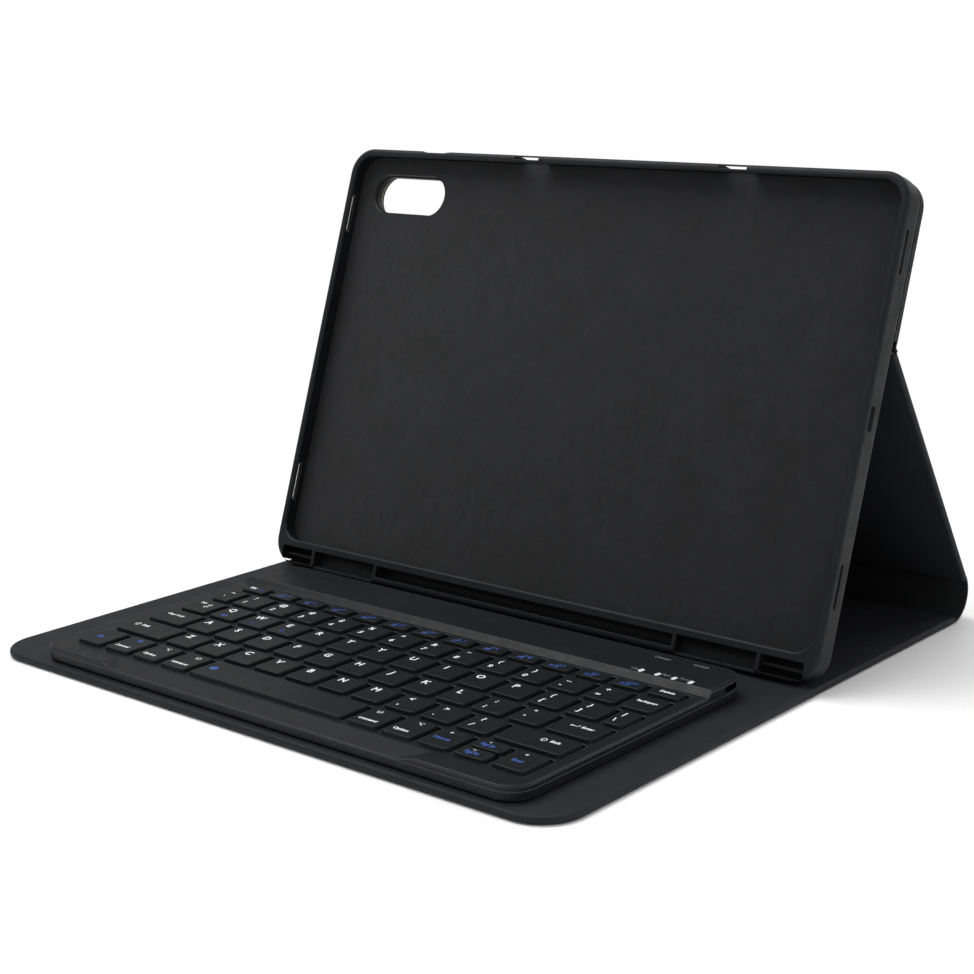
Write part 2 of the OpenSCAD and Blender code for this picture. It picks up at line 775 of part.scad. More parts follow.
module keyboard_deck() {
    color(shell_c) centred() difference() {
        union() {
            difference() {
                intersection() {
                    along_x(kb_left, kb_w) deck_profile(0);
                    along_y(kb_y, kb_d) deck_ends();
                    linear_extrude(bar_z) kb_outline(0);
                }
                intersection() {
                    along_x(kb_left, kb_w) deck_profile(shell_t);
                    linear_extrude(bar_z) kb_outline(kb_wall);
                }
            }
            for (p = screws)
                translate([p[0], p[1], pillar_top])
                    cylinder(d = pillar_d, h = screw_roof(p) - shell_t / 2 - pillar_top);
        }
        intersection() {
            translate([kb_x, kb_y, 0]) edge_sweep(kb_w, kb_d, kb_r) bevel_cut(edge_bevel, deck_z, 1);
            translate([kb_left - 1, kb_y - 1, 0]) cube([kb_w + 2, bar_y - kb_y + 1, bar_z]);
        }
        finger_scoop();
        for (k = all_keys)
            key_window(k);
        for (p = screws)
            translate([p[0], p[1], pillar_top - 1])
                cylinder(d = screw_d + 2 * screw_fit, h = deck_z - shell_t - pillar_top + 1);
        translate([kb_right - 3 * kb_wall, socket_y, socket_z]) socket_hole();
        translate([kb_left - kb_wall, switch_y, switch_z]) rotate([90, 0, 90])
            linear_extrude(3 * kb_wall)
                square([knob[0] + switch_travel + 0.6, knob[1] + 0.4], center = true);
        for (x = light_xs)
            translate([x, light_y, deck_z]) cylinder(d = light_d + 0.1, h = bar_h + 1);
    }
}

module socket_hole() {
    rotate([90, 0, 90]) linear_extrude(4 * kb_wall) pill(socket[1] + 0.3, socket[2] + 0.3);
}

module plate_outline() {
    translate([keys_x - plate_margin, keys_y - plate_margin])
        square([keys_w + 2 * plate_margin, row_y(5) + half_key - keys_y + 2 * plate_margin]);
}

module keyboard_plate() {
    color(metal_c) centred() translate([0, 0, floor_top]) linear_extrude(plate_t) plate_outline();
}

module key_membrane() {
    color("#4d5a55") centred() translate([0, 0, floor_top + plate_t])
        linear_extrude(membrane_t) plate_outline();
}

module key_domes() {
    color("#d8d8d2") centred() for (k = all_keys)
        translate([k[0] + k[2] / 2, k[1] + k[3] / 2, membrane_top])
            cylinder(d1 = dome_d, d2 = stem_d - 0.4, h = dome_h);
}

module keyboard_magnets() {
    color(metal_c) centred() translate([0, 0, floor_top]) linear_extrude(magnet_h) magnet_plan();
}

module battery() {
    color("#9aa0a6") centred() translate([kb_x + battery_x, bar_mid_y - battery_size[1] / 2 - 1, floor_top])
        cube(battery_size);
}

module circuit_board() {
    color("#2f5d43") centred() {
        translate([board_x[0], board_y[0], board_z])
            cube([board_x[1] - board_x[0], board_y[1] - board_y[0], board_h]);
        translate([board_x[0] + 1.5 * chip_l, board_y[0] + 1.6, board_z + board_h - eps])
            cube([chip_l, chip_l, chip_h]);
        translate([board_x[0] + 3.2 * chip_l, board_y[0] + 4, board_z + board_h - eps])
            cube([chip_l / 2, chip_l / 2, 0.8 * chip_h]);
        switch_body();
    }
}

// The switch's own small board and body, with a groove that its slider runs in
module switch_body() {
    groove = [slider[0] + 3 * slider_fit + 1, slider[1] + switch_travel + 2 * slider_fit,
        slider[2] + 2 * slider_fit];
    length = groove[1] + 2 * switch_wall;
    translate([switch_x, switch_y - length / 2 - 1, board_z])
        cube([switch_body_w + 2, length + 2, board_h]);
    difference() {
        translate([switch_x, switch_y - length / 2, board_z + board_h - eps])
            cube([switch_body_w, length, switch_body_h]);
        translate([switch_x - 1, switch_y - groove[1] / 2, switch_z - groove[2] / 2])
            cube(groove);
    }
}

// A knob outside the wall, on a wider slider that can't pass the slot
module power_switch() {
    color("#101113") centred() translate([0, switch_y - switch_travel / 2, switch_z]) {
        translate([kb_left - knob_out, -knob[0] / 2, -knob[1] / 2])
            cube([switch_x - kb_left + knob_out + 2 * slider_fit, knob[0], knob[1]]);
        translate([switch_x + slider_fit, -slider[1] / 2, -slider[2] / 2]) cube(slider);
    }
}

module charging_port() {
    color(metal_c) centred() translate([kb_right - socket[0] - 0.4, socket_y, socket_z])
        rotate([90, 0, 90]) difference() {
            linear_extrude(socket[0]) pill(socket[1], socket[2]);
            translate([0, 0, 1]) linear_extrude(socket[0])
                pill(socket[1] - 2 * socket_wall, socket[2] - 2 * socket_wall);
        }
}

module status_lights() {
    color("#e8ecef") centred() for (x = light_xs)
        translate([x, light_y, board_z + board_h])
            cylinder(d = light_d, h = bar_z - board_z - board_h);
}

module case_screws() {
    color(metal_c) centred() for (p = screws)
        translate([p[0], p[1], kb_bottom]) {
            cylinder(d = screw_head_d, h = screw_head_h);
            cylinder(d = screw_d, h = deck_z - shell_t - kb_bottom - shank_gap);
        }
}

module rubber_feet() {
    color("#151515") centred() for (x = [kb_left + foot_in, kb_x, kb_right - foot_in],
            y = [kb_y + foot_in, kb_rear - foot_in])
        translate([x, y, panel_t]) cylinder(d = foot_d, h = foot_h);
}

// Keycaps: sloping sides with round corners, hollow below, and a stem over the dome

module key_cap(k) {
    foot = [k[0] - key_draft, k[1] - key_draft, k[2] + 2 * key_draft, k[3] + 2 * key_draft];
    tall = key_top - key_foot;
    difference() {
        intersection() {
            along_x(foot[0], foot[2]) translate([k[1], key_foot])
                polygon([[-key_draft, 0], [k[3] + key_draft, 0], [k[3], tall], [0, tall]]);
            along_y(foot[1], foot[3]) translate([k[0], key_foot])
                polygon([[-key_draft, 0], [k[2] + key_draft, 0], [k[2], tall], [0, tall]]);
            translate([foot[0] + foot[2] / 2, foot[1], key_foot])
                linear_extrude(tall) round_rect(foot[2], foot[3], key_r);
        }
        translate([foot[0] + key_wall, foot[1] + key_wall, key_foot - 1])
            cube([foot[2] - 2 * key_wall, foot[3] - 2 * key_wall, tall - key_cap_t + 1]);
    }
    translate([k[0] + k[2] / 2, k[1] + k[3] / 2, membrane_top + dome_h])
        cylinder(d = stem_d, h = key_top - key_cap_t + eps - membrane_top - dome_h);
}

module key_caps(list) {
    color(key_c) centred() for (k = list)
        key_cap(k);
}

module escape_key() key_caps(tops(0, 0));
module function_keys() key_caps(tops(1, 12));
module delete_key() key_caps(tops(13, 13));
module accent_key() key_caps(from_left(accent_w, 4));
module number_keys() key_caps(letters(number_x, 12, 4));
module backspace_key() key_caps(to_end(number_x + 12 * pitch_x, 4));
module tab_key() key_caps(from_left(tab_w, 3));
module upper_letter_keys() key_caps(letters(upper_x, 12, 3));
module backslash_key() key_caps(to_end(upper_x + 12 * pitch_x, 3));
module caps_lock_key() key_caps(from_left(caps_w, 2));
module middle_letter_keys() key_caps(letters(middle_x, 11, 2));
module enter_key() key_caps(to_end(middle_x + 11 * pitch_x, 2));
module left_shift_key() key_caps(from_left(shift_w, 1));
module lower_letter_keys() key_caps(letters(lower_x, 10, 1));
module right_shift_key() key_caps(to_end(lower_x + 10 * pitch_x, 1));
module fn_key() key_caps(left_mod(0));
module left_control_key() key_caps(left_mod(1));
module left_option_key() key_caps(left_mod(2));
module left_command_key() key_caps(left_mod(3));
module space_bar() key_caps(space);
module right_command_key() key_caps(right_mod(4));
module right_option_key() key_caps(right_mod(3));
module home_key() key_caps(right_mod(2));
module page_up_key() key_caps(page(true));
module page_down_key() key_caps(page(false));
module end_key() key_caps(right_mod(0));

base_cover();
base_board();
base_lining();
base_magnets();
spine_leather();
leg_cover();
leg_board();
leg_lining();
fold_leather();
upper_cover();
upper_board();
upper_lining();
adhesive_sheet();
tablet_tray();
tray_pad();
tray_magnets();
keyboard_case();
keyboard_deck();
keyboard_plate();
key_membrane();
key_domes();
keyboard_magnets();
battery();
circuit_board();
charging_port();
status_lights();
case_screws();
rubber_feet();
power_switch();
escape_key();
function_keys();
delete_key();
accent_key();
number_keys();
backspace_key();
tab_key();
upper_letter_keys();
backslash_key();
caps_lock_key();
middle_letter_keys();
enter_key();
left_shift_key();
lower_letter_keys();
right_shift_key();
fn_key();
left_control_key();
left_option_key();
left_command_key();
space_bar();
right_command_key();
right_option_key();
home_key();
page_up_key();
page_down_key();
end_key();
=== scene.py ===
import json
import math
import bmesh
import bpy
from mathutils import Matrix, Vector, noise


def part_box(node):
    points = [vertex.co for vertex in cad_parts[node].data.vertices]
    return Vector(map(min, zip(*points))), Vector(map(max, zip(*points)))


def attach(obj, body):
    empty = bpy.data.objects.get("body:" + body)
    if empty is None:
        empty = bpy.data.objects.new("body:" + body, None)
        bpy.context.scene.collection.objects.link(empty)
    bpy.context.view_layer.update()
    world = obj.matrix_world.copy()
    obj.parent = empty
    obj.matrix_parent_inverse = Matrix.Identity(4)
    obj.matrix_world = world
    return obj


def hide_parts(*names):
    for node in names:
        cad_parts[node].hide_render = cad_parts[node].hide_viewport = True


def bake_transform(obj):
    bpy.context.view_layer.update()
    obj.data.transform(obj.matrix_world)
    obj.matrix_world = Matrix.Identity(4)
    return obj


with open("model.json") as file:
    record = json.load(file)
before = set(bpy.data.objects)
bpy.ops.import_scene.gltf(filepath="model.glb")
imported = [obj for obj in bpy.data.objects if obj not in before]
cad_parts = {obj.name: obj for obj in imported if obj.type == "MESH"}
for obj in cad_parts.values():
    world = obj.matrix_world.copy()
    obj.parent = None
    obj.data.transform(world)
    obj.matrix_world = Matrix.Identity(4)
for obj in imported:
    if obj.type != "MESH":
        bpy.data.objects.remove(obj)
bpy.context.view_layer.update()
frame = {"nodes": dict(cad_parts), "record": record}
print("frame loaded:", len(frame["nodes"]), "nodes")

# The camera, fitted to the photograph
cameraSettings = {
    "place": (0.48251, -0.58028, 0.24368),
    "turn": (1.336544, 0.008170, 0.693607),
    "lens": 70.03,
}


def addCamera(settings):
    lensData = bpy.data.cameras.new("deskCamera")
    lensData.lens = settings["lens"]
    lensData.sensor_width = 36
    lensData.clip_start = 0.01
    lensData.clip_end = 20
    deskCamera = bpy.data.objects.new("deskCamera", lensData)
    deskCamera.location = settings["place"]
    deskCamera.rotation_euler = settings["turn"]
    bpy.context.scene.collection.objects.link(deskCamera)
    bpy.context.scene.camera = deskCamera


addCamera(cameraSettings)
print("camera set")


# Finishes, all procedural
def shade(code):
    # a hex colour as linear light
    parts = [int(code[i:i + 2], 16) / 255 for i in (1, 3, 5)]
    return [p / 12.92 if p <= 0.04045 else ((p + 0.055) / 1.055) ** 2.4 for p in parts] + [1]


def wire(tree, source, target):
    tree.links.new(source, target)


# What all finishes share; "gloss", the pit shade amount and "mottleSize" hold where a finish names none of
# its own
finishSettings = {
    "mottleSize": 0.03, "roughSize": 0.006, "slowDetail": 4, "fineDetail": 5, "cellSmooth": 0.6,
    "edgeSamples": 6, "wearAmount": 0.55, "wearMatch": (0.86, 0.99),
    # the pit colour is painted shade in the hollows of the cell grain
    "pit": 0.25, "pitReach": (0.1, 0.6), "pitColour": "#0b0b0c", "gloss": 0.5, "sheenRough": 0.5,
}


# Each finish has a base colour, a second colour for its slow mottling, and a list of surface
# layers. A layer is (pattern, size in metres, height in metres), with a stretch along X, Y, Z
# as a fourth value where the pattern is drawn out.
def makeFinish(name, look):
    finish = bpy.data.materials.new(name)
    finish.use_nodes = True
    tree = finish.node_tree
    nodes = tree.nodes
    shader = nodes["Principled BSDF"]
    place = nodes.new("ShaderNodeTexCoord").outputs["Object"]

    def pattern(kind, size, stretch):
        mapping = nodes.new("ShaderNodeMapping")
        mapping.inputs["Scale"].default_value = stretch
        wire(tree, place, mapping.inputs["Vector"])
        texture = nodes.new(kind)
        texture.inputs["Scale"].default_value = 1 / size
        wire(tree, mapping.outputs["Vector"], texture.inputs["Vector"])
        return texture

    def cloud(size, detail, stretch=(1, 1, 1)):
        texture = pattern("ShaderNodeTexNoise", size, stretch)
        texture.inputs["Detail"].default_value = detail
        return texture.outputs["Fac"]

    def cells(size, stretch):
        texture = pattern("ShaderNodeTexVoronoi", size, stretch)
        texture.feature = "SMOOTH_F1"
        texture.inputs["Smoothness"].default_value = finishSettings["cellSmooth"]
        return texture.outputs["Distance"]

    def spread(value, low, high, fromLow=0.3, fromHigh=0.7):
        span = nodes.new("ShaderNodeMapRange")
        for socket, number in (("From Min", fromLow), ("From Max", fromHigh),
                               ("To Min", low), ("To Max", high)):
            span.inputs[socket].default_value = number
        wire(tree, value, span.inputs["Value"])
        return span.outputs["Result"]

    def mixed(amount, first, second):
        blend = nodes.new("ShaderNodeMix")
        blend.data_type = "RGBA"
        wire(tree, amount, blend.inputs[0])
        for socket, value in ((blend.inputs[6], first), (blend.inputs[7], second)):
            if isinstance(value, (list, tuple)):
                socket.default_value = value
            else:
                wire(tree, value, socket)
        return blend.outputs[2]

    colour = mixed(spread(cloud(look.get("mottleSize", finishSettings["mottleSize"]),
                                finishSettings["slowDetail"]), 0, 1),
                   shade(look["colour"]), shade(look["mottle"]))
    normal = None
    if look.get("edge"):
        # softened edges, lightened toward an edge colour: a painted highlight along with a little wear
        rounded = nodes.new("ShaderNodeBevel")
        rounded.samples = finishSettings["edgeSamples"]
        rounded.inputs["Radius"].default_value = look["edge"]
        normal = rounded.outputs["Normal"]
        if look.get("wear"):
            flat = nodes.new("ShaderNodeNewGeometry").outputs["Normal"]
            match = nodes.new("ShaderNodeVectorMath")
            match.operation = "DOT_PRODUCT"
            wire(tree, normal, match.inputs[0])
            wire(tree, flat, match.inputs[1])
            # where the softened normal turns from the flat one, the colour goes toward the edge colour:
            # painted highlight with a little wear
            wearAndHighlightShare = spread(match.outputs["Value"], finishSettings["wearAmount"], 0,
                          *finishSettings["wearMatch"])
            colour = mixed(wearAndHighlightShare, colour, shade(look["wear"]))
    for kind, size, height, *stretch in look.get("layers", []):
        along = stretch[0] if stretch else (1, 1, 1)
        value = cells(size, along) if kind == "cells" else cloud(size, finishSettings["fineDetail"], along)
        bump = nodes.new("ShaderNodeBump")
        bump.inputs["Strength"].default_value = 1
        bump.inputs["Distance"].default_value = height
        wire(tree, value, bump.inputs["Height"])
        if normal is not None:
            wire(tree, normal, bump.inputs["Normal"])
        normal = bump.outputs["Normal"]
        # the cells' low points are darkened toward the pit colour: painted shade in the grain's hollows
        if kind == "cells":
            pit = spread(value, look.get("pit", finishSettings["pit"]), 0, *finishSettings["pitReach"])
            colour = mixed(pit, colour, shade(finishSettings["pitColour"]))
    if normal is not None:
        wire(tree, normal, shader.inputs["Normal"])
    wire(tree, colour, shader.inputs["Base Color"])
    low, high = look["rough"]
    patches = cloud(finishSettings["roughSize"], finishSettings["slowDetail"])
    wire(tree, spread(patches, low, high), shader.inputs["Roughness"])
    shader.inputs["Metallic"].default_value = look.get("metal", 0)
    shader.inputs["Specular IOR Level"].default_value = look.get("gloss", finishSettings["gloss"])
    if look.get("sheen"):
        shader.inputs["Sheen Weight"].default_value = look["sheen"]
        shader.inputs["Sheen Roughness"].default_value = finishSettings["sheenRough"]
    return finish


finishLooks = {
    "coverLeather": {"colour": "#242527", "mottle": "#1d1e20", "rough": (0.5, 0.66), "mottleSize": 0.05,
                     "gloss": 0.14,
                     "layers": [("cloud", 0.03, 0.00022), ("cells", 0.0009, 0.00006),
                                ("cloud", 0.0003, 0.00002)]},
    "innerLeather": {"colour": "#26272a", "mottle": "#202124", "rough": (0.5, 0.64), "mottleSize": 0.07,
                     "gloss": 0.14, "pit": 0.18,
                     "layers": [("cloud", 0.05, 0.0007), ("cells", 0.0007, 0.00004),
                                ("cloud", 0.00025, 0.000015)]},
    # the edge colours of trayRubber and shellPlastic are painted highlights on rounded edges, with a little
    # wear
    "trayRubber": {"colour": "#1f2022", "mottle": "#1b1c1e", "rough": (0.42, 0.55), "edge": 0.0004,
                   "wear": "#38393b", "gloss": 0.14, "layers": [("cloud", 0.00035, 0.000012)]},
    "trayFleece": {"colour": "#1b1c1f", "mottle": "#151618", "rough": (0.85, 0.95), "sheen": 0.25,
                   "mottleSize": 0.02, "gloss": 0.2,
                   "layers": [("cloud", 0.004, 0.0003), ("cloud", 0.0004, 0.00012)]},
    "shellPlastic": {"colour": "#1b1c1e", "mottle": "#18191b", "rough": (0.32, 0.44), "edge": 0.0005,
                     "wear": "#77787c", "gloss": 0.16, "layers": [("cloud", 0.0004, 0.000015)]},
    "keyPlastic": {"colour": "#181b1c", "mottle": "#151819", "rough": (0.36, 0.46), "gloss": 0.16,
                   "layers": [("cloud", 0.0003, 0.00001)]},
    "whitePrint": {"colour": "#f2f3f4", "mottle": "#e2e4e6", "rough": (0.5, 0.65), "mottleSize": 0.002},
    "bluePrint": {"colour": "#345ba8", "mottle": "#2d5095", "rough": (0.5, 0.65), "mottleSize": 0.002},
    "greyPrint": {"colour": "#6c6e72", "mottle": "#5a5c60", "rough": (0.5, 0.65), "mottleSize": 0.002},
    "greyBoard": {"colour": "#8f8676", "mottle": "#7c7464", "rough": (0.8, 0.95),
                  "layers": [("cloud", 0.0012, 0.00008)]},
    "adhesiveFilm": {"colour": "#c9c4b4", "mottle": "#b8b29f", "rough": (0.3, 0.5),
                     "layers": [("cloud", 0.002, 0.00003)]},
    "platedMetal": {"colour": "#b4b6ba", "mottle": "#9ea1a6", "rough": (0.28, 0.42), "metal": 1,
                    "edge": 0.0001, "layers": [("cloud", 0.0006, 0.00001, (1, 8, 8))]},
    "darkSteel": {"colour": "#4a4c50", "mottle": "#3c3e42", "rough": (0.3, 0.45), "metal": 1,
                  "edge": 0.0001, "layers": [("cloud", 0.0003, 0.00001)]},
    "blackPlate": {"colour": "#101112", "mottle": "#0c0d0e", "rough": (0.5, 0.65), "gloss": 0.15,
                   "layers": [("cloud", 0.0006, 0.00001)]},
    "membraneFilm": {"colour": "#55635d", "mottle": "#48554f", "rough": (0.3, 0.5),
                     "layers": [("cloud", 0.001, 0.00001)]},
    "domeRubber": {"colour": "#d4d4cc", "mottle": "#c6c6bc", "rough": (0.55, 0.7), "edge": 0.0003,
                   "layers": [("cloud", 0.0006, 0.00002)]},
    "batteryPouch": {"colour": "#a0a5aa", "mottle": "#8c9196", "rough": (0.25, 0.4), "metal": 0.6,
                     "edge": 0.0006, "layers": [("cloud", 0.004, 0.0002)]},
    "boardLaminate": {"colour": "#24593a", "mottle": "#1b472d", "rough": (0.25, 0.4), "mottleSize": 0.002,
                      "edge": 0.0001, "layers": [("cells", 0.0015, 0.00003)]},
    "lightLens": {"colour": "#f2f4f6", "mottle": "#dfe3e6", "rough": (0.2, 0.35), "mottleSize": 0.003,
                  "layers": [("cloud", 0.0005, 0.00001)]},
    "feetRubber": {"colour": "#1b1b1c", "mottle": "#151516", "rough": (0.7, 0.85), "edge": 0.0002,
                   "layers": [("cloud", 0.0004, 0.00003)]},
    "switchPlastic": {"colour": "#17181a", "mottle": "#131416", "rough": (0.35, 0.5), "edge": 0.0002,
                      "layers": [("cloud", 0.0003, 0.00001)]},
}
finishes = {name: makeFinish(name, look) for name, look in finishLooks.items()}

nodeFinish = {
    "base_board": "greyBoard", "leg_board": "greyBoard", "upper_board": "greyBoard",
    "base_cover": "coverLeather", "leg_cover": "coverLeather", "upper_cover": "coverLeather",
    "spine_leather": "coverLeather", "fold_leather": "coverLeather",
    "base_lining": "innerLeather", "leg_lining": "innerLeather", "upper_lining": "innerLeather",
    "base_magnets": "platedMetal", "tray_magnets": "platedMetal", "keyboard_magnets": "platedMetal",
    "adhesive_sheet": "adhesiveFilm", "tablet_tray": "trayRubber", "tray_pad": "trayFleece",
    "keyboard_case": "shellPlastic", "keyboard_deck": "shellPlastic", "keyboard_plate": "blackPlate",
    "key_membrane": "membraneFilm", "key_domes": "domeRubber", "battery": "batteryPouch",
    "circuit_board": "boardLaminate", "charging_port": "darkSteel", "status_lights": "lightLens",
    "case_screws": "darkSteel", "rubber_feet": "feetRubber", "power_switch": "switchPlastic",
}
for nodeName, nodeObject in frame["nodes"].items():
    nodeObject.data.materials.clear()
    nodeObject.data.materials.append(finishes[nodeFinish.get(nodeName, "keyPlastic")])
print("finishes made:", len(finishes))


# Mesh helpers that the pieces share
def nodeBody(node):
    return next(name for name, held in frame["record"]["behaviour"]["bodies"].items() if node in held)


def camelName(node):
    name = node.replace("_", " ").title().replace(" ", "")
    return name[0].lower() + name[1:]


def newPiece(name, mesh, finish, body=None, node=None, smooth=35):
    piece = bpy.data.objects.new(name, mesh)
    bpy.context.scene.collection.objects.link(piece)
    if finish:
        mesh.materials.clear()
        mesh.materials.append(finishes[finish])
    for face in mesh.polygons:
        face.use_smooth = True
    if smooth:
        mesh.set_sharp_from_angle(angle=math.radians(smooth))
    if node:
        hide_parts(*([node] if isinstance(node, str) else node))
    if body:
        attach(piece, body)
    return piece


def meshFrom(name, shape):
    mesh = bpy.data.meshes.new(name)
    shape.to_mesh(mesh)
    shape.free()
    return mesh


# Joins rings of points into a skin, and caps the first and the last ring
def skinRings(shape, rings):
    made = [[shape.verts.new(p) for p in ring] for ring in rings]
    for lower, upper in zip(made, made[1:]):
        count = len(lower)
        for i in range(count):
            k = (i + 1) % count
            shape.faces.new((lower[i], lower[k], upper[k], upper[i]))
    shape.faces.new(list(reversed(made[0])))
    shape.faces.new(made[-1])


# A rounded rectangle, anticlockwise, with its middle at x, y
def roundedLoop(x, y, width, depth, radius, steps=5):
    radius = max(min(radius, width / 2, depth / 2), 0.00002)
    points = []
    for turn, sx, sy in ((0, 1, 1), (90, -1, 1), (180, -1, -1), (270, 1, -1)):
        for i in range(steps + 1):
            a = math.radians(turn + 90 * i / steps)
            points.append((x + sx * (width / 2 - radius) + radius * math.cos(a),
                           y + sy * (depth / 2 - radius) + radius * math.sin(a)))
    return points


# Runs an object's modifiers into a plain mesh
def settle(piece):
    bpy.context.view_layer.update()
    done = bpy.data.meshes.new_from_object(piece.evaluated_get(bpy.context.evaluated_depsgraph_get()))
    piece.modifiers.clear()
    piece.data = done
    return piece


# The folio, with rounded panels and soft bends between them
panelLook = {
    "width": 0.288, "thick": 0.003, "edge": 0.0013,
    "baseFront": -0.14475, "baseDepth": 0.2775, "cornerRadius": 0.017,
    "spineRadius": 0.012, "spineThick": 0.0024, "legTurn": 123.977, "legLength": 0.129623,
    "foldMargin": 0.002, "leather": 0.0008, "cornerSteps": 24,
    # the spine's long creases and fine wrinkles: height, how often along the width and the bend,
    # and which slice of the noise they take
    "crease": (0.00022, 14, 9, 3), "wrinkle": (0.00012, 40, 26, 8), "sag": 0.00026,
    "spineAcross": 48, "spineAlong": 30, "spineTaper": 0.0001, "fadePower": 0.7, "thinFrom": 3,
    "foldAcross": 12, "foldSteps": 5, "foldSink": 0.00025, "foldBend": (3.5, 3),
}


# A slab from a flat outline. Each outline point says which way it may be drawn in to round the
# slab's edges, so an end that meets the next panel stays square
def softSlab(outline, thick, edge, steps=5):
    rings = []
    for i in range(steps + 1):
        a = math.radians(90 * i / steps)
        rings.append((edge * (1 - math.sin(a)), edge * (1 - math.cos(a))))
    for i in range(steps + 1):
        a = math.radians(90 - 90 * i / steps)
        rings.append((edge * (1 - math.sin(a)), thick - edge * (1 - math.cos(a))))
    return [[Vector((x + ix * inset, y + iy * inset, z)) for x, y, ix, iy in outline]
            for inset, z in rings]


def baseOutline(look):
    half, radius, steps = look["width"] / 2, look["cornerRadius"], look["cornerSteps"]
    front, depth = look["baseFront"], look["baseDepth"]
    points = []
    for turn, sx in ((180, -1), (270, 1)):
        for i in range(steps + 1):
            a = math.radians(turn + 90 * i / steps)
            cx = sx * (half - radius)
            points.append((cx + radius * math.cos(a), front + radius + radius * math.sin(a),
                           -math.cos(a), -math.sin(a)))
    rear = front + depth
    points.append((half, rear, -1, 0))
    points.append((-half, rear, 1, 0))
    return points


def stripOutline(half, start, end):
    return [(-half, start, 1, 0), (half, start, -1, 0), (half, end, -1, 0), (-half, end, 1, 0)]


# The leg's frame: Y up the leg, Z inwards from its outer skin
def spineFrame(look):
    rear = look["baseFront"] + look["baseDepth"]
    turn = math.radians(look["legTurn"])
    radius = look["spineRadius"]
    start = Vector((0, rear + radius * math.sin(turn), radius - radius * math.cos(turn)))
    return Matrix.Translation(start) @ Matrix.Rotation(turn, 4, "X")


# The outer leather, which wraps a panel from below up to half its thickness
def wrapBelow(panel, place, thick):
    panel.data.materials.append(finishes["coverLeather"])
    back = place.inverted()
    for face in panel.data.polygons:
        if (back @ face.center).z < thick / 2:
            face.material_index = 1
    return panel


def makeBasePanel(look):
    shape = bmesh.new()
    skinRings(shape, softSlab(baseOutline(look), look["thick"], look["edge"]))
    panel = newPiece("basePanel", meshFrom("basePanel", shape), "innerLeather", "base",
                     ["base_cover", "base_lining"])
    return wrapBelow(panel, Matrix.Identity(4), look["thick"])


def makeLegPanel(look):
    shape = bmesh.new()
    rings = softSlab(stripOutline(look["width"] / 2, 0, look["legLength"] - look["foldMargin"]),
                     look["thick"], look["edge"])
    skinRings(shape, rings)
    bmesh.ops.transform(shape, matrix=spineFrame(look), verts=shape.verts)
    panel = newPiece("legPanel", meshFrom("legPanel", shape), "innerLeather", "leg",
                     ["leg_cover", "leg_lining"])
    return wrapBelow(panel, spineFrame(look), look["thick"])


# A bent strip with shallow creases along it, as thick as the panels where it meets them
def makeSpine(look):
    shape = bmesh.new()
    rear = look["baseFront"] + look["baseDepth"]
    radius, turn = look["spineRadius"], look["legTurn"]
    half, edge = look["width"] / 2, look["edge"]
    across, along = look["spineAcross"], look["spineAlong"]
    deep, deepX, deepT, deepSlice = look["crease"]
    fine, fineX, fineT, fineSlice = look["wrinkle"]
    rings = []
    for k in range(along + 1):
        t = k / along
        a = math.radians(turn * t - 90)
        fade = math.sin(math.pi * t) ** look["fadePower"]
        thick = look["thick"] - (look["thick"] - look["spineThick"]) * min(1, look["thinFrom"] * fade)
        outer, inner = [], []
        for i in range(across + 1):
            x = -half + 2 * half * i / across
            ends = min(1, (half - abs(x)) / look["spineTaper"])
            crease = deep * fade * noise.noise(Vector((x * deepX, t * deepT, deepSlice)))
            crease += fine * fade * noise.noise(Vector((x * fineX, t * fineT, fineSlice)))
            pull = edge * 0.5 * (1 - ends)
            for side, level in ((outer, radius - look["sag"] * fade - abs(crease) - pull),
                                (inner, radius - thick + crease + pull)):
                side.append(Vector((x, rear + level * math.cos(a), radius + level * math.sin(a))))
        rings.append(outer + list(reversed(inner)))
    skinRings(shape, rings)
    bmesh.ops.recalc_face_normals(shape, faces=shape.faces)
    spine = newPiece("spine", meshFrom("spine", shape), "coverLeather", None, "spine_leather", 50)
    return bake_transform(spine)


trayPlace = {
    "lean": 18.56, "y": 0.1618 - 0.14475, "z": 0.0157912, "depth": 0.012, "foldUp": 0.1216,
    "skin": -0.0033,
}


# The tray's frame: Y up the screen from the opening's lower edge, Z from its back to its lip
def trayFrame(look):
    return (Matrix.Translation((0, look["y"], look["z"]))
            @ Matrix.Rotation(math.radians(90 - look["lean"]), 4, "X")
            @ Matrix.Translation((0, 0, -look["depth"])))


# The bare leather between the leg and the upper panel, bent round the fold
def makeFold(look, tray):
    shape = bmesh.new()
    leg = spineFrame(look)
    upper = trayFrame(tray)
    half, thick = look["width"] / 2, look["leather"]
    length, margin = look["legLength"], look["foldMargin"]
    steps = look["foldSteps"]
    outer = [leg @ Vector((0, length - margin * (1 - i / steps), 0)) for i in range(steps + 1)]
    outer += [upper @ Vector((0, tray["foldUp"] + margin * i / steps, tray["skin"]))
              for i in range(1, steps + 1)]
    legIn = leg.to_3x3() @ Vector((0, 0, 1))
    upperIn = upper.to_3x3() @ Vector((0, 0, 1))
    rings = []
    across = look["foldAcross"]
    bendFrom, bendOver = look["foldBend"]  # in steps along the fold
    for k, point in enumerate(outer):
        t = min(max((k - bendFrom) / bendOver, 0), 1)
        inward = (legIn * (1 - t) + upperIn * t).normalized()
        sink = look["foldSink"] * math.sin(math.pi * k / (2 * steps))
        line = [point + inward * sink + Vector((-half + 2 * half * i / across, 0, 0))
                for i in range(across + 1)]
        rings.append(line + [p + inward * thick for p in reversed(line)])
    skinRings(shape, rings)
    bmesh.ops.recalc_face_normals(shape, faces=shape.faces)
    fold = newPiece("foldLeather", meshFrom("foldLeather", shape), "coverLeather", None, "fold_leather", 50)
    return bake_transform(fold)


makeBasePanel(panelLook)
makeLegPanel(panelLook)
makeSpine(panelLook)
makeFold(panelLook, trayPlace)
print("folio panels made")


